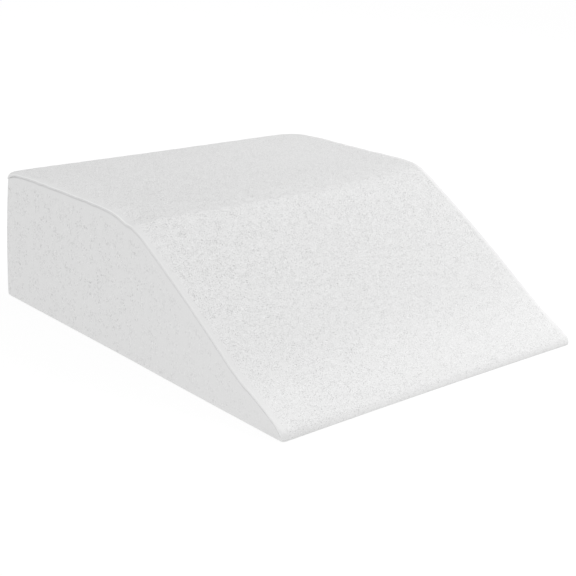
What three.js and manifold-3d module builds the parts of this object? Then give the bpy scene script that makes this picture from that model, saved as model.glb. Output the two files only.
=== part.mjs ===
// Wedge pillow that raises the legs: a filled wedge with a flat top, a long slope and a thin front edge.
// Its knitted cover is one wrap panel, over the top, down the slope and under the base, and one side band.
// Sizes are in millimetres and +Z is up. The origin is on the floor under the middle of the pillow.
// The thin front edge is at -Y, the tall back is at +Y, and the two sides are at -X and +X.
import * as THREE from "three";
import Module from "manifold-3d";

// Driving sizes of the filled wedge
const WIDTH = 530;
const LENGTH = 583;
const BACK_HEIGHT = 173;
const CREST_HEIGHT = 178.5;
const TOP_DEPTH = 295.5; // from the back edge to the crest, where the slope begins
const SLOPE_FOOT = 3.5; // height at which the straight slope would reach the front edge
const BACK_CORNER_RADIUS = 28; // of the two upright back corners, seen from above
const FRONT_CORNER_RADIUS = 7;

// How the filling swells and the seams draw it in
const TOP_ARCH = 7.5; // the flat top stands this much higher halfway along its depth
const TOP_CROWN = 0.5; // and this much higher in the middle of its width
const SLOPE_HOLLOW = 1.8; // the slope sinks this much in the middle of its width
const CREST_SOFTNESS = 8; // height over which the top and the slope blend, in the middle
const CREST_EDGE_SOFTNESS = 18; // the same at the seams, which pull the crest down
const CREST_EDGE_REACH = 45; // width beside each seam over which the crest softens
const SEAM_ROUND = 4; // radius of the cloth's turn into the seam
const SEAM_DIP = 1.6; // the seam sits this much lower again
const SEAM_DIP_REACH = 16; // width of cloth beside the seam that sinks with it
const TOE_REACH = 48; // the seam sits less low over this length behind the front edge
const SIDE_PULL = 0.5; // the sides draw in this much halfway along
const FRONT_PULL = 2; // and so does the front edge
const BACK_PULL = 2.4;

// Long soft swells of the slope, from the front edge backwards
const SLOPE_SWELLS = [
  { centre: 0, spread: 45, rise: 4 },
  { centre: 95, spread: 35, rise: -1.4 },
  { centre: 150, spread: 90, rise: 2.8 },
  { centre: 205, spread: 60, rise: 1.2 },
];

// Side band and the edges that the wrap panel turns towards it
const BAND_THICKNESS = 2;
const BAND_SINK = 2; // the band's edges lie this far in from the wrap panel's edge
const BAND_SWELL = 2; // and its middle comes out again by this much, where it is tall
const BAND_TALL = 120; // height from which the band swells in full
const TURNED_EDGE = 1; // upright rim of the wrap panel above the band
const BASE_EDGE = 4; // height of the wrap panel's rim under the band
const BASE_ROUND = 3; // radius of the base's lower edge
const BAND_FRONT_GAP = 8; // the band's two ends stop this far behind the front edge, past its corners
const CLEARANCE = 0.3; // between the band and the wedge
const ROOM_OVERSHOOT = 6; // the band's room is cut from this far outside the outline

// How finely the surfaces are divided
const EDGE_LINES = [0, 1.2, 2.6, 4, 7, 11, 16, 28]; // distances of the grid's lines from each edge
const WIDTH_CELLS = 10;
const SLOPE_CELLS = 10;
const CREST_CELLS = 12;
const TOP_CELLS = 8;
const BASE_ROUND_STEPS = 3;
const BAND_STEPS = 5;
const CREST_ZONE = 30; // finely divided stretch on each side of the crest

const HALF_WIDTH = WIDTH / 2;
const HALF_LENGTH = LENGTH / 2;
const CREST_FROM_FRONT = LENGTH - TOP_DEPTH;

const { clamp, lerp, mapLinear, smoothstep } = THREE.MathUtils;

// Evenly spaced values strictly between two ends
function between(start, end, cells) {
  return Array.from({ length: cells - 1 }, (_, k) => lerp(start, end, (k + 1) / cells));
}

// Grid lines across the width, from -X to +X
function widthLines() {
  const left = EDGE_LINES.map((d) => d - HALF_WIDTH);
  const right = EDGE_LINES.map((d) => HALF_WIDTH - d).reverse();
  return [...left, ...between(left.at(-1), right[0], WIDTH_CELLS), ...right];
}

// Grid lines along the length, as distances from the front edge
function lengthLines() {
  const front = EDGE_LINES;
  const back = EDGE_LINES.map((d) => LENGTH - d).reverse();
  const crestStart = CREST_FROM_FRONT - CREST_ZONE;
  const crestEnd = CREST_FROM_FRONT + CREST_ZONE;
  return [
    ...front,
    ...between(front.at(-1), crestStart, SLOPE_CELLS),
    crestStart,
    ...between(crestStart, crestEnd, CREST_CELLS),
    crestEnd,
    ...between(crestEnd, back[0], TOP_CELLS),
    ...back,
  ];
}

// Bends a point of the plain rectangle to the outline with round corners.
// Gives the point, the direction straight out of the outline, and the distance in from the outline.
function roundedPlan(x, y) {
  const radius = y > 0 ? BACK_CORNER_RADIUS : FRONT_CORNER_RADIUS;
  const insideX = HALF_WIDTH - Math.abs(x);
  const insideY = HALF_LENGTH - Math.abs(y);
  const p = 1 - insideX / radius;
  const q = 1 - insideY / radius;
  if (p <= 0 || q <= 0) {
    const out = insideX < insideY ? [Math.sign(x), 0] : [0, Math.sign(y)];
    return { x, y, out, inset: Math.min(insideX, insideY) };
  }
  const u = p * Math.sqrt(1 - (q * q) / 2);
  const v = q * Math.sqrt(1 - (p * p) / 2);
  const reach = Math.hypot(u, v);
  return {
    x: Math.sign(x) * (HALF_WIDTH - radius + radius * u),
    y: Math.sign(y) * (HALF_LENGTH - radius + radius * v),
    out: [(Math.sign(x) * u) / reach, (Math.sign(y) * v) / reach],
    inset: radius * (1 - reach),
  };
}

// Draws the outline's long edges in between its corners.
function drawnIn(x, y) {
  const alongSide = 1 - (y / HALF_LENGTH) ** 2;
  const alongFront = 1 - (x / HALF_WIDTH) ** 2;
  const front = 0.5 - y / LENGTH;
  return [
    x * (1 - (SIDE_PULL / HALF_WIDTH) * alongSide),
    y + alongFront * (FRONT_PULL * front - BACK_PULL * (1 - front)),
  ];
}

// Height of the top, before its edges turn down, at a distance from the middle and from the front edge
function topHeight(x, fromFront) {
  const acrossX = 1 - (x / HALF_WIDTH) ** 2;
  const nearSeam = smoothstep(Math.abs(x), HALF_WIDTH - CREST_EDGE_REACH, HALF_WIDTH);
  const softness = lerp(CREST_SOFTNESS, CREST_EDGE_SOFTNESS, nearSeam);
  const slope = mapLinear(fromFront, 0, CREST_FROM_FRONT, SLOPE_FOOT, CREST_HEIGHT);
  const flat = mapLinear(fromFront, CREST_FROM_FRONT, LENGTH, CREST_HEIGHT, BACK_HEIGHT);
  const blend = Math.max(softness - Math.abs(slope - flat), 0) ** 2 / (4 * softness);
  const swell = SLOPE_SWELLS.reduce(
    (sum, { centre, spread, rise }) => sum + rise * Math.exp(-(((fromFront - centre) / spread) ** 2)),
    0,
  );
  const alongTop = clamp((fromFront - CREST_FROM_FRONT) / TOP_DEPTH, 0, 1);
  const arch = TOP_ARCH * 4 * alongTop * (1 - alongTop);
  const onTop = smoothstep(fromFront, CREST_FROM_FRONT - CREST_ZONE, CREST_FROM_FRONT + CREST_ZONE);
  const onSlope = smoothstep(fromFront, 0, CREST_FROM_FRONT / 2) * (1 - onTop);
  const crown = acrossX * (TOP_CROWN * onTop - SLOPE_HOLLOW * onSlope);
  return Math.min(slope, flat) - blend + swell + arch + crown;
}

// How far the cloth has turned down towards the seam, at a distance in from the outline
function seamDrop(inset, fromFront) {
  const toTurn = clamp(SEAM_ROUND - inset, 0, SEAM_ROUND);
  const turn = SEAM_ROUND - Math.sqrt(SEAM_ROUND ** 2 - toTurn ** 2);
  const toDip = Math.max(1 - inset / SEAM_DIP_REACH, 0);
  return turn + SEAM_DIP * toDip ** 2 * smoothstep(fromFront, 0, TOE_REACH);
}

// Point of the top cloth over a point of the plain rectangle
function topPoint(x, fromFront) {
  const plan = roundedPlan(x, fromFront - HALF_LENGTH);
  const height = topHeight(plan.x, plan.y + HALF_LENGTH) - seamDrop(plan.inset, fromFront);
  return [...drawnIn(plan.x, plan.y), height];
}

// Point of the outline, moved straight in by an inset and set at a height
function edgePoint(x, fromFront, inset, height) {
  const plan = roundedPlan(x, fromFront - HALF_LENGTH);
  const [px, py] = drawnIn(plan.x, plan.y);
  return [px - plan.out[0] * inset, py - plan.out[1] * inset, height];
}

// Surface of points and triangles as a three.js geometry
function surface(points, triangles) {
  const geometry = new THREE.BufferGeometry();
  geometry.setAttribute("position", new THREE.Float32BufferAttribute(points.flat(), 3));
  geometry.setIndex(triangles.flat());
  return geometry;
}

// Filled wedge before the side band is let into it: the top's grid, a rim round it, and the flat base
function wedgeForm() {
  const columns = widthLines();
  const rows = lengthLines();
  const points = [];
  const triangles = [];
  const at = (i, j) => j * columns.length + i;

  for (const fromFront of rows) {
    for (const x of columns) points.push(topPoint(x, fromFront));
  }
  for (let j = 0; j + 1 < rows.length; j++) {
    for (let i = 0; i + 1 < columns.length; i++) {
      const [a, b, c, d] = [at(i, j), at(i + 1, j), at(i + 1, j + 1), at(i, j + 1)];
      const leftHalf = columns[i] < 0;
      triangles.push(...(leftHalf ? [[a, b, c], [a, c, d]] : [[a, b, d], [b, c, d]]));
    }
  }

  // Outline of the grid, anticlockwise from above, starting at the front left corner
  const lastColumn = columns.length - 1;
  const lastRow = rows.length - 1;
  const outline = [
    ...columns.slice(0, -1).map((x, i) => ({ x, y: rows[0], index: at(i, 0) })),
    ...rows.slice(0, -1).map((y, j) => ({ x: columns[lastColumn], y, index: at(lastColumn, j) })),
    ...columns.slice(1).map((x, i) => ({ x, y: rows[lastRow], index: at(i + 1, lastRow) })).reverse(),
    ...rows.slice(1).map((y, j) => ({ x: columns[0], y, index: at(0, j + 1) })).reverse(),
  ];

  let upper = outline.map((corner) => corner.index);
  for (let step = 0; step <= BASE_ROUND_STEPS; step++) {
    const angle = (step / BASE_ROUND_STEPS) * (Math.PI / 2);
    const inset = BASE_ROUND * (1 - Math.cos(angle));
    const height = BASE_ROUND * (1 - Math.sin(angle));
    const lower = outline.map(({ x, y }) => points.push(edgePoint(x, y, inset, height)) - 1);
    upper.forEach((index, k) => {
      const next = (k + 1) % outline.length;
      triangles.push([index, lower[k], lower[next]], [index, lower[next], upper[next]]);
    });
    upper = lower;
  }

  const base = upper.map((index) => new THREE.Vector2(points[index][0], points[index][1]));
  for (const [a, b, c] of THREE.ShapeUtils.triangulateShape(base, [])) {
    triangles.push([upper[a], upper[c], upper[b]]);
  }
  return surface(points, triangles);
}

// Places along the outline that the side band passes, from the right side round the back to the left side
function bandRoute(start) {
  const rows = lengthLines().filter((fromFront) => fromFront > start + CLEARANCE);
  return [
    { x: HALF_WIDTH, y: start },
    ...rows.slice(0, -1).map((y) => ({ x: HALF_WIDTH, y })),
    ...widthLines().map((x) => ({ x, y: LENGTH })).reverse(),
    ...rows.slice(0, -1).map((y) => ({ x: -HALF_WIDTH, y })).reverse(),
    { x: -HALF_WIDTH, y: start },
  ];
}

// Side band as a closed strip, whose outer face swells in a low arch between its two seams.
// Its room in the wedge is the same strip, grown, with its outer face moved out past the outline.
function bandForm(grow, outerInset) {
  const route = bandRoute(BAND_FRONT_GAP - grow);
  const points = [];
  const triangles = [];
  const ring = 2 * (BAND_STEPS + 1);

  for (const { x, y } of route) {
    const low = BASE_EDGE - grow;
    const high = topPoint(x, y)[2] - TURNED_EDGE + grow;
    const swell = BAND_SWELL * Math.min((high - low) / BAND_TALL, 1);
    const section = Array.from({ length: BAND_STEPS + 1 }, (_, k) => {
      const t = k / BAND_STEPS;
      return { inset: BAND_SINK - 4 * swell * t * (1 - t), height: lerp(low, high, t) };
    });
    for (const { inset, height } of section) {
      points.push(edgePoint(x, y, outerInset ?? inset, height));
    }
    for (const { inset, height } of section.reverse()) {
      points.push(edgePoint(x, y, inset + BAND_THICKNESS + grow, height));
    }
  }

  for (let s = 0; s + 1 < route.length; s++) {
    for (let k = 0; k < ring; k++) {
      const next = (k + 1) % ring;
      const [a, b] = [s * ring + k, s * ring + next];
      triangles.push([a, a + ring, b + ring], [a, b + ring, b]);
    }
  }
  const last = (route.length - 1) * ring;
  for (let k = 0; k < BAND_STEPS; k++) {
    const [a, b, c, d] = [k, k + 1, ring - 2 - k, ring - 1 - k];
    triangles.push([a, b, c], [a, c, d]);
    triangles.push([last + a, last + c, last + b], [last + a, last + d, last + c]);
  }
  return surface(points, triangles);
}

const wasm = await Module();
wasm.setup();

// Solid of a closed surface, for cutting
function solid(geometry) {
  const vertProperties = geometry.getAttribute("position").array;
  const triVerts = new Uint32Array(geometry.index.array);
  return new wasm.Manifold(new wasm.Mesh({ numProp: 3, vertProperties, triVerts }));
}

// Closed surface of a solid
function geometryOf(cut) {
  const mesh = cut.getMesh();
  const geometry = new THREE.BufferGeometry();
  geometry.setAttribute("position", new THREE.BufferAttribute(mesh.vertProperties, 3));
  geometry.setIndex(new THREE.BufferAttribute(mesh.triVerts, 1));
  geometry.computeVertexNormals();
  return geometry;
}

// White knit, matt and a little warm
function knit(name, color) {
  return new THREE.MeshStandardMaterial({ name, color, roughness: 0.95, metalness: 0 });
}

// The filled wedge in its wrap panel, with a shallow room round three sides for the band
function pillowBody() {
  const room = solid(bandForm(CLEARANCE, -ROOM_OVERSHOOT));
  const filled = solid(wedgeForm()).subtract(room);
  const mesh = new THREE.Mesh(geometryOf(filled), knit("wrap knit", 0xf2f2f1));
  mesh.name = "pillow_body";
  return mesh;
}

// The band sewn round both sides and the back
function sideBand() {
  const mesh = new THREE.Mesh(geometryOf(solid(bandForm(0))), knit("band knit", 0xeeeeee));
  mesh.name = "side_band";
  return mesh;
}

const pillow = new THREE.Group();
pillow.name = "wedge_pillow";
pillow.add(pillowBody(), sideBand());

export default pillow;
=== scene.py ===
# Wedge pillow that raises the legs, filled, in a white knit cover of one wrap panel and one side band.
# Everything is in metres and +Z is up. The origin is on the floor under the middle of the pillow.
# The thin front edge is at -Y, the tall back is at +Y, and the two sides are at -X and +X.
import math

import bpy
import numpy as np
from mathutils import Matrix, Vector


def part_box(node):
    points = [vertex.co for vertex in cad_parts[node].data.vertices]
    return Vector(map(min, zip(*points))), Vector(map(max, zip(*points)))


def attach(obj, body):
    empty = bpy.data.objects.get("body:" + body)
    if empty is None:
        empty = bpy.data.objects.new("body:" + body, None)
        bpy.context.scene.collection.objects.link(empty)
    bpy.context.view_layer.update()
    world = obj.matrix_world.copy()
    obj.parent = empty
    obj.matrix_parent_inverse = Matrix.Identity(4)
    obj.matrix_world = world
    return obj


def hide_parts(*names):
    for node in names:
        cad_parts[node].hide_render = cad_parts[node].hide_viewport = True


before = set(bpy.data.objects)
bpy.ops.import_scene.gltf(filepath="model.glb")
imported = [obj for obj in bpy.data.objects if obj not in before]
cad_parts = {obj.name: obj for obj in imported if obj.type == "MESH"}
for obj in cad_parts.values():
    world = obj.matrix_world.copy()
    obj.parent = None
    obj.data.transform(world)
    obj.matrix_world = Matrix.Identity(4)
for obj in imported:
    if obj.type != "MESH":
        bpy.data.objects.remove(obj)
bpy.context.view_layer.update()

MM = 0.001

# Outline of the filled wedge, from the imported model
body_low, body_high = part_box("pillow_body")
WIDTH = body_high[0] - body_low[0]
LENGTH = body_high[1] - body_low[1]
HALF_WIDTH = WIDTH / 2
HALF_LENGTH = LENGTH / 2

# Its heights and corners
BACK_HEIGHT = 173.2 * MM
CREST_HEIGHT = 178.6 * MM
TOP_DEPTH = 295.4 * MM  # from the back edge to the crest
CREST_FROM_FRONT = LENGTH - TOP_DEPTH
SLOPE_FOOT = 3.5 * MM
BACK_CORNER_RADIUS = 24 * MM
FRONT_CORNER_RADIUS = 7 * MM
FRONT_PULL = 1.9 * MM
BACK_PULL = 2.4 * MM

# How the filling swells: the flat top is arched along its depth, and the slope is a little hollow across
EDGE_ARCH = 6.7 * MM  # at the side edges, where it is flat in the middle and steep at its ends
MIDDLE_ARCH = 0.8 * MM
SLOPE_HOLLOW = 2.2 * MM
CREST_LEFT_SOFTNESS = 1.6 * MM  # height over which the top and the slope blend
CREST_RIGHT_SOFTNESS = 14 * MM
CREST_ZONE = 48 * MM

# Long swells of the slope, as distance from the front edge, spread, and rise at the left and the right
SLOPE_SWELLS = [
    (0, 45 * MM, 4 * MM, 4 * MM),
    (95 * MM, 35 * MM, -1.4 * MM, -0.3 * MM),
    (150 * MM, 90 * MM, 0.6 * MM, 3.7 * MM),
    (205 * MM, 60 * MM, 1.2 * MM, 1.2 * MM),
]

# Local swells and dents, as x, distance from the front edge, spread in x, spread along, and rise
RIGHT_CREST = (HALF_WIDTH, CREST_FROM_FRONT, 100 * MM, 90 * MM, 4.4 * MM)
LOCAL_SWELLS = [
    (-HALF_WIDTH, 296 * MM, 30 * MM, 20 * MM, -5.2 * MM),
    (-HALF_WIDTH, 60 * MM, 120 * MM, 60 * MM, -1.2 * MM),
    (-HALF_WIDTH, 45 * MM, 45 * MM, 24 * MM, 3.9 * MM),
    (-HALF_WIDTH, LENGTH, 35 * MM, 35 * MM, -1.2 * MM),
    (HALF_WIDTH, LENGTH, 35 * MM, 35 * MM, -1.2 * MM),
    (-262 * MM, 14 * MM, 70 * MM, 26 * MM, 1.8 * MM),
    (-244 * MM, 7 * MM, 7 * MM, 5 * MM, -1.3 * MM),
    (-20 * MM, 165 * MM, 90 * MM, 45 * MM, -2.5 * MM),
    (-60 * MM, 80 * MM, 110 * MM, 40 * MM, 2.5 * MM),
    (-215 * MM, 50 * MM, 40 * MM, 32 * MM, -0.8 * MM),
]

# Seam between the wrap panel and the side band
SEAM_ROUND = 1.5 * MM  # radius of the wrap's turn into the seam
CORNER_ROUND = 9 * MM  # and at the back corners
CORNER_REACH = 20 * MM
FRONT_ROUND = 4 * MM  # and of its turn round the front edge, which has no seam
FRONT_ROUND_REACH = 20 * MM
SEAM_DIP = 1.9 * MM
SEAM_DIP_REACH = 13 * MM
TOE_REACH = 48 * MM  # the dip and the painted seam highlight grow to full over this length behind the front edge
ALLOWANCE_RISE = 0.5 * MM  # the sewn edges folded under the wrap lift it beside the seam
ALLOWANCE_EDGE = (9 * MM, 14 * MM)
PUCKER = 0.3 * MM
PUCKER_CELL = 11 * MM
PUCKER_REACH = 8 * MM
PUCKER_SEED = 3
SEAM_END = 1 * MM  # the seam meets the floor this far behind the front edge
SEAM_END_REACH = 8 * MM  # and curves down to it over this length
SEWN_REACH = (SEAM_END, 5 * MM)  # the wrap's edge is tucked in full past the second

# The wrap below its edge: its lip, the rings behind it, the hidden side behind the band, and the base
LIP_ROUND = 0.6 * MM
LIP_ANGLES = (30, 60, 90)
TUCK = 2.4 * MM  # depth of the seam behind the lip
TUCK_RINGS = [(0, 0.7 * MM), (1.2 * MM, 1.6 * MM), (2.2 * MM, 3.2 * MM)]  # in past it, down from the lip
HIDDEN_SIDE = 2.4 * MM  # in past the tuck
HIDDEN_FOOT = 1.2 * MM
BASE_RINGS = [(2.8 * MM, 0.3 * MM), (3.6 * MM, 0)]  # in past the tuck, up from the floor
BASE_ROLL = 3 * MM  # radius of the base's edge, on the wrap at the front and on the band
FRONT_RINGS = (0.2, 0.4, 0.6, 0.8, 1.0)
BASE_STEPS = 7

# Side band
BAND_THICKNESS = 2 * MM
TOP_INSET = 0.7 * MM  # its outer face lies this far in from the outline beside the seam at the flat top
SLOPE_INSET = 0.1 * MM  # and this far beside the slope
INSET_CHANGE = (150 * MM, 330 * MM)
BAND_ROLL = 0.6 * MM
BAND_BELOW_LIP = 0.85 * MM
BAND_SWELL = 1.6 * MM
BAND_TALL = 120 * MM  # height from which the band swells in full
BAND_FOOT = 0.2 * MM
BAND_LEAST = 0.5 * MM  # least height, at its two ends
BAND_INNER_GAP = 0.3 * MM  # its inner face stops this far short of its edges

# Small ripples of the cloth
RIPPLE = 0.1 * MM
RIPPLE_CELL = 14 * MM
RIPPLE_REACH = 30 * MM  # they grow to full over this width beside the wrap's edge
RIPPLE_SEED = 5
BAND_RIPPLE_REACH = (20 * MM, 12 * MM)  # and beside the band's top and bottom
BAND_RIPPLE_SEED = 8

# Seeds of the knit: size in millimetres, and least strength. Each is a few stitches, too fine to show alone
WRAP_SEEDS = (1.15, 0.75)
WRAP_WEAKEST = 0.7
BAND_SEEDS = (1.9, 1.4)
BAND_WEAKEST = 0.15
SEED_RELIEF = 0.4 * MM  # height of a full one
SEED_PLACES = 0.75  # how unevenly they lie
SEED_DOME = (0.65, 0.25)  # from a seed's edge to its full height, as shares of its size
WANDER = 4.0  # the rows of seeds wander this far, in millimetres
WANDER_SCALE = 0.09
PATCH_SCALE = 0.07
PATCH_RANGE = (0.36, 0.62)

# How strong the seeds are from place to place
SMOOTH_SEAM = (4 * MM, 12 * MM)  # they are pressed flat beside a seam, and full past the second
SMOOTH_FRONT = (-3 * MM, 4 * MM)
TOP_SEEDS = 0.87
LOW_SLOPE_SEEDS = 0.78  # they show less where the slope ends at the front
LOW_SLOPE_REACH = (50 * MM, 220 * MM)
TURNED_SEEDS = 0.6  # and where the front edge turns under
TURNED_REACH = 12 * MM
SMOOTH_BAND = (3 * MM, 14 * MM)
SMOOTH_BAND_FOOT = 6 * MM  # the band's foot is smooth for this much less than its top
LOW_BAND_SEEDS = 0.6  # they show less towards the band's low front end
LOW_BAND_REACH = (120 * MM, 330 * MM)

# Painted light and shade in the knit's colour: paler in painted highlights and painted light, darker in
# painted shade
TOP_SEAM_PAINTED_HIGHLIGHT = 0.42  # painted highlight on the wrap's turn beside the seam, on the flat top
SLOPE_SEAM_PAINTED_HIGHLIGHT = 0.12
SEAM_HIGHLIGHT_GAP = 1.6 * MM  # the painted highlight's pale line lies this far in from the seam
SEAM_HIGHLIGHT_WIDTH = 0.8 * MM
TOE_PAINTED_LIGHT = 0.16  # painted light, paler towards the front edge
TOE_PAINTED_LIGHT_REACH = (25 * MM, 120 * MM)
LIP_PAINTED_SHADE = 0.13  # painted shade where the left end of the front edge turns under
LIP_PAINTED_SHADE_REACH = 7 * MM
LIP_PAINTED_SHADE_PLACES = (-235 * MM, -150 * MM)
CREST_PAINTED_SHADE = 0.025  # painted shade behind the crest
CREST_PAINTED_SHADE_REACH = (45 * MM, 110 * MM)
CREST_PAINTED_LIGHT = 0.03  # painted light in front of the crest
CREST_PAINTED_LIGHT_REACH = 25 * MM

# How finely the surfaces are divided
CELL = 2.5 * MM
TURN_STEPS = 6
SEAM_TURN_LINES = [2.8, 4.2, 5.8]  # beside a seam's turn, in millimetres from the edge
FRONT_TURN_LINES = [5.6]
EDGE_LINES = [7.5, 9.5, 12, 14.5, 17.5, 21, 24.5, 28]
BAND_LINES = 34
BAND_EVENNESS = 0.35  # the band's lines lie closer at its top and bottom
SMOOTHINGS = 4
LENGTH_STEPS = 600
NOISE_SIZE = 64

# Pressure of the filling on the cloth, and how far a point may move
SWELL_CELL = 7 * MM
SWELL_EDGES = [0, 8 * MM, 16 * MM, 24 * MM]
SWELL_PINNED = 9 * MM
SWELL_PRESSURE = 4
SWELL_FRAMES = 20
SWELL_CAP = 1.6 * MM

# Camera, fitted to the photograph's edges
VIEW_AZIMUTH = math.radians(-43.964)
VIEW_ELEVATION = math.radians(19.163)
VIEW_ROLL = math.radians(3.991)
VIEW_DISTANCE = 1.8442
VIEW_TARGET = Vector((0.01764, 0.01057, 0.03759))
VIEW_LENS = 83.476
SENSOR = 36

# Light: the room, the floor, and the lamps, each with its place, aim, size and power
ROOM_STRENGTH = 0.851
FLOOR_COLOR = "#7a7a7a"  # grey, because the floor also shines by itself
FLOOR_STRENGTH = 0.828
FLOOR_REACH = 30.0
SOFT_LIGHTS = [
    ("right", (2.2, -0.2, 1.2), (0, 0, 0.1), 1.5, 17),
    ("left front", (-2.0, -1.4, 0.7), (0, 0, 0.1), 1.2, 7.8),
    ("high front right", (1.3, -1.1, 2.1), (0, 0, 0.1), 1.4, 2.6),
    ("near right", (0.75, -0.75, 1.1), (0.2, -0.2, 0.05), 0.7, 2.9),
]


def mix(low, high, share):
    """Value a share of the way from low to high."""
    return low + (high - low) * share


def smooth(value, low, high):
    """Goes softly from 0 at low to 1 at high."""
    t = np.clip((value - low) / (high - low), 0, 1)
    return t * t * (3 - 2 * t)


def bell(distance, spread):
    """1 at no distance, fading to nothing past about twice the spread."""
    return np.exp(-((distance / spread) ** 2))


def hills(u, v, cell, seed):
    """Soft random hills between -1 and 1, about one to a cell."""
    values = np.random.default_rng(seed).uniform(-1, 1, (NOISE_SIZE, NOISE_SIZE))
    column, row = np.floor(u / cell).astype(int), np.floor(v / cell).astype(int)
    a, b = u / cell - column, v / cell - row
    a, b = a**3 * (a * (6 * a - 15) + 10), b**3 * (b * (6 * b - 15) + 10)
    near, far = column % NOISE_SIZE, (column + 1) % NOISE_SIZE
    low, high = row % NOISE_SIZE, (row + 1) % NOISE_SIZE
    below = mix(values[near, low], values[far, low], a)
    above = mix(values[near, high], values[far, high], a)
    return mix(below, above, b)


def edge_lines(turn):
    """Distances of the grid's lines from an edge: close together round the turn, then wider."""
    angles = np.linspace(0, math.pi / 2, TURN_STEPS + 1)
    rolled = [turn * (1 - math.cos(a)) for a in angles]
    beside = SEAM_TURN_LINES if turn < FRONT_ROUND else FRONT_TURN_LINES
    return [*rolled, *(d * MM for d in beside + EDGE_LINES)]


def evenly(start, end, cell):
    """Lines strictly between two places, about a cell apart."""
    return np.linspace(start, end, max(2, round((end - start) / cell) + 1))[1:-1]


def width_lines(cell=CELL, edges=None):
    """Lines across the width, as distances from its middle."""
    edges = edge_lines(SEAM_ROUND) if edges is None else edges
    inner = HALF_WIDTH - edges[-1]
    left = [d - HALF_WIDTH for d in edges]
    return np.array([*left, *evenly(-inner, inner, cell), *(-x for x in reversed(left))])


def length_lines(cell=CELL, front=None, back=None):
    """Lines along the length, as distances from the front edge."""
    front = edge_lines(FRONT_ROUND) if front is None else front
    back = edge_lines(SEAM_ROUND) if back is None else back
    middle = evenly(front[-1], LENGTH - back[-1], cell)
    return np.array([*front, *middle, *(LENGTH - d for d in reversed(back))])


def rounded_plan(x, y):
    """Bends points of the plain rectangle to the outline with round corners.
    Gives the points, the direction straight out of the outline, and the distance in from it."""
    radius = np.where(y > 0, BACK_CORNER_RADIUS, FRONT_CORNER_RADIUS)
    inside_x, inside_y = HALF_WIDTH - np.abs(x), HALF_LENGTH - np.abs(y)
    p, q = np.clip(1 - inside_x / radius, 0, 1), np.clip(1 - inside_y / radius, 0, 1)
    corner = (p > 0) & (q > 0)
    u, v = p * np.sqrt(1 - q * q / 2), q * np.sqrt(1 - p * p / 2)
    reach = np.where(corner, np.hypot(u, v), 1)
    to_side = inside_x < inside_y
    out_x = np.where(corner, u / reach, to_side) * np.sign(x)
    out_y = np.where(corner, v / reach, ~to_side) * np.sign(y)
    bent_x = np.where(corner, np.sign(x) * (HALF_WIDTH - radius + radius * u), x)
    bent_y = np.where(corner, np.sign(y) * (HALF_LENGTH - radius + radius * v), y)
    inset = np.where(corner, radius * (1 - reach), np.minimum(inside_x, inside_y))
    return bent_x, bent_y, out_x, out_y, inset


def drawn_in(x, y):
    """Draws the front and back edges in between their corners."""
    along_front = 1 - (x / HALF_WIDTH) ** 2
    front = 0.5 - y / LENGTH
    return x, y + along_front * (FRONT_PULL * front - BACK_PULL * (1 - front))


def swelling(x, from_front, centre_x, centre, spread_x, spread, rise):
    """Height of one local swell or dent."""
    return rise * bell(x - centre_x, spread_x) * bell(from_front - centre, spread)


def crest_planes(x, from_front):
    """Heights of the slope's plane and of the flat top's, and the height over which they blend."""
    slope = mix(SLOPE_FOOT, CREST_HEIGHT, from_front / CREST_FROM_FRONT)
    flat = mix(CREST_HEIGHT, BACK_HEIGHT, (from_front - CREST_FROM_FRONT) / TOP_DEPTH)
    flat = flat + swelling(x, from_front, *RIGHT_CREST)
    softness = mix(CREST_LEFT_SOFTNESS, CREST_RIGHT_SOFTNESS, np.clip(0.5 + x / WIDTH, 0, 1) ** 3)
    return slope, flat, softness


def top_height(x, from_front):
    """Height of the top, before its edges turn down to the seams."""
    across = 1 - (x / HALF_WIDTH) ** 2
    share = 0.5 + x / WIDTH
    slope, flat, softness = crest_planes(x, from_front)
    blend = np.clip(softness - np.abs(slope - flat), 0, None) ** 2 / (4 * softness)
    height = np.minimum(slope, flat) - blend
    for centre, spread, left, right in SLOPE_SWELLS:
        height = height + mix(left, right, share) * bell(from_front - centre, spread)
    for swell in LOCAL_SWELLS:
        height = height + swelling(x, from_front, *swell)
    along_top = np.clip((from_front - CREST_FROM_FRONT) / TOP_DEPTH, 0, 1)
    on_top = smooth(from_front, CREST_FROM_FRONT - CREST_ZONE, CREST_FROM_FRONT + CREST_ZONE)
    on_slope = smooth(from_front, 0, CREST_FROM_FRONT / 2) * (1 - on_top)
    edge_arch = EDGE_ARCH * (1 - (2 * along_top - 1) ** 4)
    middle_arch = MIDDLE_ARCH * 4 * along_top * (1 - along_top)
    near_edge = (x / HALF_WIDTH) ** 8
    return height + mix(middle_arch, edge_arch, near_edge) - SLOPE_HOLLOW * across * on_slope


def edge_turn(x, y, from_front):
    """Radius with which the wrap turns down at its edge."""
    radius = mix(FRONT_ROUND, SEAM_ROUND, smooth(from_front, 0, FRONT_ROUND_REACH))
    to_corner = np.hypot(HALF_WIDTH - np.abs(x), HALF_LENGTH - y)
    return mix(radius, CORNER_ROUND, bell(to_corner, CORNER_REACH))


def edge_drop(x, y, inset, from_front):
    """How far the wrap has sunk beside its edge, less the folded edges' lift and its puckers."""
    turn = edge_turn(x, y, from_front)
    to_turn = np.clip(turn - inset, 0, turn)
    rolled = turn - np.sqrt(np.clip(turn**2 - to_turn**2, 0, None))
    sewn = smooth(from_front, 0, TOE_REACH)
    dip = SEAM_DIP * np.clip(1 - inset / SEAM_DIP_REACH, 0, 1) ** 2 * sewn
    lift = ALLOWANCE_RISE * (1 - smooth(inset, *ALLOWANCE_EDGE)) * sewn
    pucker = PUCKER * hills(x, y, PUCKER_CELL, PUCKER_SEED) * np.exp(-inset / PUCKER_REACH) * sewn
    return rolled + dip - lift - pucker


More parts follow.
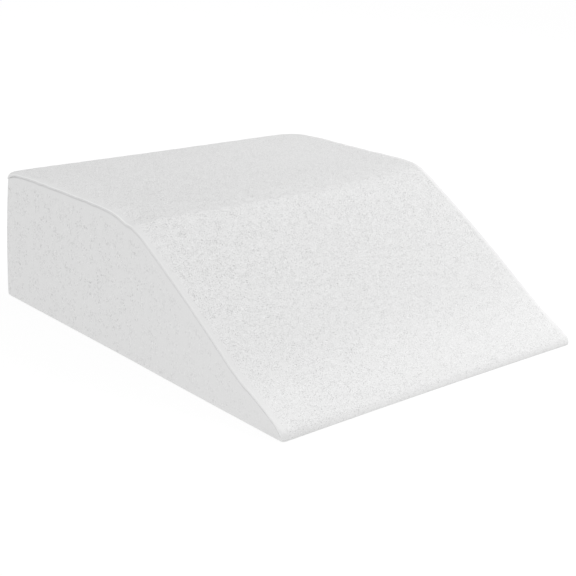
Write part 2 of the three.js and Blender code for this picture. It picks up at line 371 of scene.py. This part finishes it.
def top_surface(x, from_front):
    """Points of the wrap over points of the plain rectangle."""
    bent_x, bent_y, _, _, inset = rounded_plan(x, from_front - HALF_LENGTH)
    along = bent_y + HALF_LENGTH
    height = top_height(bent_x, along) - edge_drop(bent_x, bent_y, inset, along)
    ripple = RIPPLE * hills(bent_x, bent_y, RIPPLE_CELL, RIPPLE_SEED)
    height = height + ripple * smooth(inset, 0, RIPPLE_REACH)
    return np.stack([*drawn_in(bent_x, bent_y), height], -1)


def grid_faces(rows, columns, closed=False):
    """Quads between the neighbours of a grid of points, whose rows may join up at their ends."""
    row, column = np.meshgrid(np.arange(rows - 1), np.arange(columns - (not closed)), indexing="ij")
    a = row * columns + column
    b = row * columns + (column + 1) % columns
    return np.stack([a, b, b + columns, a + columns], -1).reshape(-1, 4)


def new_piece(name, points, faces, uv=None, **shares):
    """Mesh object from points and faces, with its cloth coordinates and other values at its points."""
    mesh = bpy.data.meshes.new(name)
    mesh.from_pydata(points.tolist(), [], [list(map(int, face)) for face in faces])
    mesh.polygons.foreach_set("use_smooth", np.ones(len(mesh.polygons), bool))
    if uv is not None:
        corner = np.zeros(len(mesh.loops), np.int32)
        mesh.loops.foreach_get("vertex_index", corner)
        layer = mesh.uv_layers.new(name="cloth")
        layer.uv.foreach_set("vector", uv[corner].astype(np.float32).ravel())
    for share, values in shares.items():
        mesh.attributes.new(share, "FLOAT", "POINT").data.foreach_set("value", values.astype(np.float32))
    mesh.update()
    piece = bpy.data.objects.new(name, mesh)
    bpy.context.scene.collection.objects.link(piece)
    return piece


def pressed_out(points, pinned):
    """Cloth simulation of a grid of cloth that is sewn down at its edges and pressed out by the filling.
    Gives how far each point moves, capped."""
    rows, columns = points.shape[:2]
    piece = new_piece("pressed_cloth", points.reshape(-1, 3), grid_faces(rows, columns))
    sewn = piece.vertex_groups.new(name="sewn")
    sewn.add(np.flatnonzero(pinned.ravel()).tolist(), 1.0, "REPLACE")
    cloth = piece.modifiers.new("cloth", "CLOTH")
    cloth.settings.quality = 6
    cloth.settings.vertex_group_mass = "sewn"
    cloth.settings.use_pressure = True
    cloth.settings.uniform_pressure_force = SWELL_PRESSURE
    cloth.settings.effector_weights.gravity = 0
    cloth.collision_settings.use_collision = False
    cloth.point_cache.frame_end = SWELL_FRAMES
    for number in range(1, SWELL_FRAMES + 1):
        bpy.context.scene.frame_set(number)
    shaped = piece.evaluated_get(bpy.context.evaluated_depsgraph_get()).to_mesh()
    moved = np.zeros(len(shaped.vertices) * 3, np.float32)
    shaped.vertices.foreach_get("co", moved)
    shift = moved.reshape(rows, columns, 3) - points
    mesh = piece.data
    bpy.data.objects.remove(piece)
    bpy.data.meshes.remove(mesh)
    bpy.context.scene.frame_set(1)
    far = np.linalg.norm(shift, axis=-1, keepdims=True)
    return shift * SWELL_CAP / (SWELL_CAP + far)


def resampled(values, old_rows, old_columns, rows, columns):
    """Values of a coarse grid read at the lines of a finer one."""
    parts = []
    for k in range(values.shape[2]):
        across = np.stack([np.interp(columns, old_columns, line) for line in values[:, :, k]])
        parts.append(np.stack([np.interp(rows, old_rows, line) for line in across.T], 1))
    fine = np.stack(parts, -1)
    for _ in range(SMOOTHINGS):
        fine[1:-1] = (fine[:-2] + 2 * fine[1:-1] + fine[2:]) / 4
        fine[:, 1:-1] = (fine[:, :-2] + 2 * fine[:, 1:-1] + fine[:, 2:]) / 4
    return fine


def outline_of(columns, rows):
    """Places along a grid's outline, anticlockwise from the front left corner, and their indices."""
    last_column, last_row = len(columns) - 1, len(rows) - 1
    front = [(i, 0) for i in range(last_column)]
    right = [(last_column, j) for j in range(last_row)]
    back = [(i, last_row) for i in range(last_column, 0, -1)]
    left = [(0, j) for j in range(last_row, 0, -1)]
    places = np.array(front + right + back + left)
    return columns[places[:, 0]], rows[places[:, 1]], places[:, 1] * len(columns) + places[:, 0]


def seam_height(edge_height, along):
    """Height of the seam: it follows the wrap's edge, and curves down to the floor at the front."""
    t = np.clip((along - SEAM_END) / SEAM_END_REACH, 0, 1)
    return edge_height * np.sqrt(1 - (1 - t) ** 2)


def rim_profile(edge_height, along):
    """Insets and heights of the wrap below its edge, down to the flat base, one pair for each ring."""
    lip = seam_height(edge_height, along)
    sewn = smooth(along, *SEWN_REACH)
    seam = [(0, mix(edge_height, lip, share)) for share in (0.5, 1.0)]
    for angle in np.radians(LIP_ANGLES):
        seam.append((LIP_ROUND * (1 - math.cos(angle)), lip - LIP_ROUND * math.sin(angle)))
    seam += [(TUCK + past, lip - depth) for past, depth in TUCK_RINGS]
    under_rings = lip - TUCK_RINGS[-1][1]
    seam += [(TUCK + HIDDEN_SIDE, mix(under_rings, HIDDEN_FOOT, share)) for share in (0.5, 1.0)]
    seam += [(TUCK + past, height) for past, height in BASE_RINGS]

    front = [(0, mix(edge_height, BASE_ROLL, share)) for share in FRONT_RINGS]
    for k in range(1, BASE_STEPS + 1):
        angle = math.pi / 2 * k / BASE_STEPS
        front.append((BASE_ROLL * (1 - math.cos(angle)), BASE_ROLL * (1 - math.sin(angle))))
    for (sewn_in, sewn_height), (front_in, front_height) in zip(seam, front):
        inset = mix(front_in, sewn_in, sewn)
        yield inset, np.clip(mix(front_height, sewn_height, sewn), 0, None)


def slope_length(from_front):
    """Length of cloth from the front edge, measured along the middle of the slope and the top."""
    steps = np.linspace(0, LENGTH, LENGTH_STEPS)
    heights = top_height(np.zeros_like(steps), steps)
    lengths = np.concatenate([[0], np.cumsum(np.hypot(np.diff(steps), np.diff(heights)))])
    return np.interp(from_front, steps, lengths)


def knit_strength(x, along, on_top):
    """Strength of the wrap's seeds: none at the seams, and less on the flat top and low on the slope."""
    seam_gap = np.minimum(HALF_WIDTH - np.abs(x), LENGTH - along)
    strength = smooth(seam_gap, *SMOOTH_SEAM) * smooth(along, *SMOOTH_FRONT)
    strength = strength * mix(LOW_SLOPE_SEEDS, 1, smooth(along, *LOW_SLOPE_REACH))
    return strength * mix(1, TOP_SEEDS, on_top)


def painted_knit_shading(x, along, inset, on_top, past_crest):
    """Painted light and shade in the wrap's colour: a painted highlight beside the seam, painted light
    towards the front edge and in front of the crest, and painted shade behind the crest and where the front
    edge turns under.
    """
    # painted highlight along the wrap's turn into the seam
    fold_tone = mix(SLOPE_SEAM_PAINTED_HIGHLIGHT, TOP_SEAM_PAINTED_HIGHLIGHT, on_top) * smooth(along, 0, TOE_REACH)
    tone = fold_tone * bell(inset - SEAM_HIGHLIGHT_GAP, SEAM_HIGHLIGHT_WIDTH)
    # painted light towards the front edge
    tone = tone + TOE_PAINTED_LIGHT * (1 - smooth(along, *TOE_PAINTED_LIGHT_REACH))
    # painted shade behind the crest and painted light in front of it
    tone = tone - CREST_PAINTED_SHADE * on_top * (1 - smooth(past_crest, *CREST_PAINTED_SHADE_REACH))
    tone = tone + CREST_PAINTED_LIGHT * (1 - on_top) * bell(past_crest, CREST_PAINTED_LIGHT_REACH)
    # painted shade on the left end of the front edge, where it turns under
    lip_painted_shade = -LIP_PAINTED_SHADE * (1 - smooth(x, *LIP_PAINTED_SHADE_PLACES))
    return mix(lip_painted_shade, tone, smooth(along, 0, LIP_PAINTED_SHADE_REACH))


def filled_top(columns, rows):
    """Points of the wrap's top and slope over a grid, pressed out by the filling."""
    coarse_columns = width_lines(SWELL_CELL, SWELL_EDGES)
    coarse_rows = length_lines(SWELL_CELL, SWELL_EDGES, SWELL_EDGES)
    x, from_front = np.meshgrid(coarse_columns, coarse_rows)
    inset = rounded_plan(x, from_front - HALF_LENGTH)[4]
    shift = pressed_out(top_surface(x, from_front), inset < SWELL_PINNED)
    swell = resampled(shift, coarse_rows, coarse_columns, rows, columns)
    return top_surface(*np.meshgrid(columns, rows)) + swell


def wrap_cover():
    """The filled pillow in its wrap panel: the top and slope, the edges turned to the seam, the base."""
    columns, rows = width_lines(), length_lines()
    points = filled_top(columns, rows).reshape(-1, 3)
    x, from_front = np.meshgrid(columns, rows)
    bent_x, bent_y, _, _, inset = rounded_plan(x, from_front - HALF_LENGTH)
    along = bent_y + HALF_LENGTH
    slope, flat, softness = crest_planes(bent_x, along)
    past_crest = slope - flat
    on_top = smooth(past_crest, -softness, softness)
    grain = knit_strength(bent_x, along, on_top).ravel()
    # painted highlights and painted shade, carried in the wrap's colour
    fold = painted_knit_shading(bent_x, along, inset, on_top, past_crest).ravel()
    uv = np.stack([bent_x, slope_length(along)], -1).reshape(-1, 2)
    faces = [*grid_faces(len(rows), len(columns))]

    edge_x, edge_y, upper = outline_of(columns, rows)
    bent_x, bent_y, out_x, out_y, _ = rounded_plan(edge_x, edge_y - HALF_LENGTH)
    drawn_x, drawn_y = drawn_in(bent_x, bent_y)
    along = bent_y + HALF_LENGTH
    edge_uv = uv[upper]
    run = np.zeros(len(upper))
    before = points[upper]
    turned_under = 1 - smooth(along, 0, TURNED_REACH)
    # the rings round the front edge's turn under keep its painted light and shade, fading, and have fewer
    # seeds
    rim_painted_shading, rough = fold[upper] * turned_under, TURNED_SEEDS * turned_under
    for ring_inset, ring_height in rim_profile(before[:, 2], along):
        ring = np.stack([drawn_x - out_x * ring_inset, drawn_y - out_y * ring_inset, ring_height], -1)
        run = run + np.linalg.norm(ring - before, axis=1)
        lower = len(points) + np.arange(len(ring))
        points = np.concatenate([points, ring])
        grain, fold = np.concatenate([grain, rough]), np.concatenate([fold, rim_painted_shading])
        uv = np.concatenate([uv, edge_uv + np.stack([out_x * run, out_y * run], -1)])
        ahead = np.roll(np.arange(len(ring)), -1)
        faces += [*np.stack([upper, lower, lower[ahead], upper[ahead]], -1)]
        upper, before = lower, ring
    faces.append(upper[::-1])
    return new_piece("wrap_cover", points, faces, uv, grain=grain, fold=fold)


def seam_route():
    """Outline from the front right corner round the back to the front left one, with the seam's height."""
    rows, columns = length_lines(), width_lines()
    side = np.full(len(rows) - 1, HALF_WIDTH)
    x = np.concatenate([side, columns[::-1], -side])
    from_front = np.concatenate([rows[:-1], np.full(len(columns), LENGTH), rows[-2::-1]])
    bent_x, bent_y, out_x, out_y, _ = rounded_plan(x, from_front - HALF_LENGTH)
    drawn_x, drawn_y = drawn_in(bent_x, bent_y)
    edge = top_surface(x, from_front)[:, 2]
    lip = seam_height(edge, bent_y + HALF_LENGTH)
    length = np.concatenate([[0], np.cumsum(np.hypot(np.diff(drawn_x), np.diff(drawn_y)))])
    return drawn_x, drawn_y, out_x, out_y, lip, length, bent_y + HALF_LENGTH


def side_band():
    """The band sewn round both sides and the back, rolled in at its seam and at its foot."""
    drawn_x, drawn_y, out_x, out_y, lip, length, from_front = seam_route()
    top = lip - BAND_BELOW_LIP
    low = BAND_FOOT
    tall = np.clip(top - low, BAND_LEAST, None)
    swell = BAND_SWELL * np.clip(tall / BAND_TALL, 0, 1)
    spread = np.linspace(0, 1, BAND_LINES)
    share = 0.5 - 0.5 * np.cos(np.pi * spread)
    share = mix(share, spread, BAND_EVENNESS)

    height = low + np.outer(share, tall)
    arch = 4 * share * (1 - share)
    from_top = top - height
    from_low = height - low
    roll = np.minimum(BAND_ROLL, tall / 2)
    under = np.minimum(BASE_ROLL, tall / 2)
    at_top = np.clip(1 - from_top / roll, 0, 1)
    at_low = np.clip(1 - from_low / under, 0, 1)
    inset = mix(SLOPE_INSET, TOP_INSET, smooth(from_front, *INSET_CHANGE)) - np.outer(arch, swell)
    inset = inset + roll * (1 - np.sqrt(1 - at_top**2)) + under * (1 - np.sqrt(1 - at_low**2))
    ripple = RIPPLE * hills(np.broadcast_to(length, height.shape), height, RIPPLE_CELL, BAND_RIPPLE_SEED)
    top_reach, low_reach = BAND_RIPPLE_REACH
    inset = inset - ripple * np.minimum(smooth(from_top, 0, top_reach), smooth(from_low, 0, low_reach))

    def face(depth):
        return np.stack([drawn_x - out_x * depth, drawn_y - out_y * depth, height], -1)

    outer, inner = face(inset), face(inset + BAND_THICKNESS)
    inner[:, :, 2] = np.clip(height, low + BAND_INNER_GAP, top - BAND_INNER_GAP)
    section = np.concatenate([outer, inner[::-1]])
    rings = section.transpose(1, 0, 2)
    count, ring = rings.shape[:2]
    points = rings.reshape(-1, 3)
    faces = [*grid_faces(count, ring, closed=True)]
    faces += [list(range(ring))[::-1], list(range((count - 1) * ring, count * ring))]
    both = np.concatenate([height, height[::-1]]).T
    uv = np.stack([np.repeat(length, ring), both.ravel()], -1)
    edge_gap = np.minimum(from_top, from_low + SMOOTH_BAND_FOOT)
    low_front = mix(LOW_BAND_SEEDS, 1, smooth(from_front, *LOW_BAND_REACH))
    strength = smooth(edge_gap, *SMOOTH_BAND) * low_front
    grain = np.concatenate([strength, np.zeros_like(strength)]).T.ravel()
    return new_piece("side_band_cloth", points, faces, uv, grain=grain)


def linear(code):
    """Linear colour of an sRGB hex value."""
    parts = [int(code[k : k + 2], 16) / 255 for k in (1, 3, 5)]
    return tuple(c / 12.92 if c <= 0.04045 else ((c + 0.055) / 1.055) ** 2.4 for c in parts) + (1,)


def add(tree, kind, settings=None, **links):
    """Adds a node with its settings. A link names its input, with _ for a space, or in_ and its number."""
    node = tree.nodes.new(kind)
    for name, value in (settings or {}).items():
        setattr(node, name, value)
    for name, value in links.items():
        key = int(name[3:]) if name.startswith("in_") else name.replace("_", " ")
        socket = node.inputs[key]
        if isinstance(value, bpy.types.NodeSocket):
            tree.links.new(value, socket)
        else:
            socket.default_value = value
    return node


def knit_material(name, light, shade, seed_size, weakest, turned):
    """Double knit with a seeded relief: a few of its yarn seeds, up to 2 mm across, stand out as pale or
    dark ticks, in patches, and give the eye a dry, speckled white. Their colour follows their height,
    partly the knit's own random speckle and partly painted highlight on raised seeds and painted shade on
    sunk ones. It is smooth beside the seams."""
    material = bpy.data.materials.new(name)
    material.use_nodes = True
    tree = material.node_tree
    tree.nodes.clear()
    flat_noise = {"noise_dimensions": "2D"}
    cloth = add(tree, "ShaderNodeUVMap", {"uv_map": "cloth"})
    turn = (0, 0, math.pi / 2 if turned else 0)
    to_mm = (1 / MM, 1 / MM, 1 / MM)
    in_mm = add(tree, "ShaderNodeMapping", in_0=cloth.outputs[0], Rotation=turn, Scale=to_mm).outputs[0]

    # the seeds' rows wander a little, as cloth does
    wander = add(tree, "ShaderNodeTexNoise", flat_noise, in_0=in_mm, Scale=WANDER_SCALE, Detail=1.0)
    pushed = add(
        tree, "ShaderNodeVectorMath", {"operation": "SCALE"}, in_0=wander.outputs["Color"], Scale=WANDER
    )
    place = add(tree, "ShaderNodeVectorMath", {"operation": "ADD"}, in_0=in_mm, in_1=pushed.outputs[0])
    to_seeds = (1 / seed_size[0], 1 / seed_size[1], 1.0)
    at_seeds = add(
        tree, "ShaderNodeVectorMath", {"operation": "MULTIPLY"}, in_0=place.outputs[0], in_1=to_seeds
    )
    seeds = add(
        tree, "ShaderNodeTexVoronoi", {"voronoi_dimensions": "2D"},
        in_0=at_seeds.outputs[0], Scale=1.0, Randomness=SEED_PLACES,
    )
    dome = add(
        tree, "ShaderNodeMapRange", in_0=seeds.outputs["Distance"], in_1=SEED_DOME[0], in_2=SEED_DOME[1]
    )

    # most seeds lie nearly flat: the height of each is a random number from -1 to 1, cubed
    which = add(tree, "ShaderNodeSeparateColor", in_0=seeds.outputs["Color"])
    signed = add(tree, "ShaderNodeMapRange", in_0=which.outputs[0], in_3=-1.0)
    cubed = add(tree, "ShaderNodeMath", {"operation": "POWER"}, in_0=signed.outputs[0], in_1=3.0)
    seed = add(
        tree, "ShaderNodeMath", {"operation": "MULTIPLY"}, in_0=dome.outputs[0], in_1=cubed.outputs[0]
    )

    # the relief is full in some patches and weak in others
    broad = add(tree, "ShaderNodeTexNoise", flat_noise, in_0=in_mm, Scale=PATCH_SCALE, Detail=1.0)
    patch = add(
        tree, "ShaderNodeMapRange",
        in_0=broad.outputs[0], in_1=PATCH_RANGE[0], in_2=PATCH_RANGE[1], in_3=weakest,
    )
    grain = add(tree, "ShaderNodeAttribute", {"attribute_name": "grain"})
    strength = add(
        tree, "ShaderNodeMath", {"operation": "MULTIPLY"}, in_0=patch.outputs[0], in_1=grain.outputs["Fac"]
    )
    raised = add(
        tree, "ShaderNodeMath", {"operation": "MULTIPLY"}, in_0=seed.outputs[0], in_1=strength.outputs[0]
    )
    bump = add(tree, "ShaderNodeBump", Height=raised.outputs[0], Distance=SEED_RELIEF, Strength=1.0)

    # raised seeds are pale and sunk ones dark, partly the knit's own random speckle and partly painted
    # highlight and painted shade; the attribute read below adds the wrap's painted light and shade
    fold = add(tree, "ShaderNodeAttribute", {"attribute_name": "fold"})
    tone = add(
        tree, "ShaderNodeMath", {"operation": "ADD"}, in_0=fold.outputs["Fac"], in_1=raised.outputs[0]
    )
    paleness = add(tree, "ShaderNodeMapRange", in_0=tone.outputs[0], in_1=-1.0)
    color = add(
        tree, "ShaderNodeMix", {"data_type": "RGBA"},
        in_0=paleness.outputs[0], in_6=linear(shade), in_7=linear(light),
    )
    shader = add(
        tree, "ShaderNodeBsdfPrincipled", Base_Color=color.outputs[2], Roughness=0.92,
        Normal=bump.outputs[0], Specular_IOR_Level=0.25, Sheen_Weight=0.08, Sheen_Roughness=0.5,
    )
    add(tree, "ShaderNodeOutputMaterial", Surface=shader.outputs[0])
    return material


def studio_floor():
    """Plain floor, lit so that it looks like bright white paper."""
    corners = np.array([(-1, -1, 0), (1, -1, 0), (1, 1, 0), (-1, 1, 0)]) * FLOOR_REACH
    floor = new_piece("studio_floor", corners, [(0, 1, 2, 3)])
    material = bpy.data.materials.new("white studio paper")
    material.use_nodes = True
    shader = material.node_tree.nodes["Principled BSDF"]
    shader.inputs["Base Color"].default_value = linear(FLOOR_COLOR)
    shader.inputs["Roughness"].default_value = 1.0
    shader.inputs["Specular IOR Level"].default_value = 0.0
    shader.inputs["Emission Color"].default_value = linear("#ffffff")
    shader.inputs["Emission Strength"].default_value = FLOOR_STRENGTH
    floor.data.materials.append(material)


def soft_light(name, place, aim, size, power):
    """Round lamp at a place, turned to its aim."""
    lamp = bpy.data.lights.new(name, "AREA")
    lamp.shape = "DISK"
    lamp.size = size
    lamp.energy = power
    light = bpy.data.objects.new(name, lamp)
    light.location = place
    light.rotation_euler = (Vector(aim) - Vector(place)).to_track_quat("-Z", "Y").to_euler()
    bpy.context.scene.collection.objects.link(light)


def studio():
    """Pale room and floor with soft lamps: a strong one at the right, a weaker one at the front left, and
    two faint ones at the front right."""
    scene = bpy.context.scene
    world = bpy.data.worlds.new("pale room")
    world.use_nodes = True
    world.node_tree.nodes["Background"].inputs["Color"].default_value = (1, 1, 1, 1)
    world.node_tree.nodes["Background"].inputs["Strength"].default_value = ROOM_STRENGTH
    scene.world = world
    scene.view_settings.view_transform = "Standard"
    studio_floor()
    for name, place, aim, size, power in SOFT_LIGHTS:
        soft_light(name, place, aim, size, power)


def camera():
    """Looks at the pillow from the photograph's angle."""
    out = Vector((
        math.sin(VIEW_AZIMUTH) * math.cos(VIEW_ELEVATION),
        -math.cos(VIEW_AZIMUTH) * math.cos(VIEW_ELEVATION),
        math.sin(VIEW_ELEVATION),
    ))
    level = Vector((math.cos(VIEW_AZIMUTH), math.sin(VIEW_AZIMUTH), 0))
    upright = out.cross(level)
    right = math.cos(VIEW_ROLL) * level + math.sin(VIEW_ROLL) * upright
    up = out.cross(right)
    data = bpy.data.cameras.new("camera")
    data.sensor_width = SENSOR
    data.lens = VIEW_LENS
    viewer = bpy.data.objects.new("camera", data)
    turned = Matrix((right, up, out)).transposed().to_4x4()
    viewer.matrix_world = Matrix.Translation(VIEW_TARGET + out * VIEW_DISTANCE) @ turned
    bpy.context.scene.collection.objects.link(viewer)
    bpy.context.scene.camera = viewer


def dressed():
    """The pillow's pieces, with their cloth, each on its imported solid."""
    wrap_knit = knit_material(
        "white double knit", "#ffffff", "#a6a6a6", WRAP_SEEDS, WRAP_WEAKEST, turned=False
    )
    band_knit = knit_material(
        "white double knit across", "#ededed", "#c0c0c0", BAND_SEEDS, BAND_WEAKEST, turned=True
    )
    cover = wrap_cover()
    cover.data.materials.append(wrap_knit)
    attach(cover, "root")
    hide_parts("pillow_body")

    band = side_band()
    band.data.materials.append(band_knit)
    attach(band, "root")
    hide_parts("side_band")


camera()
studio()
dressed()
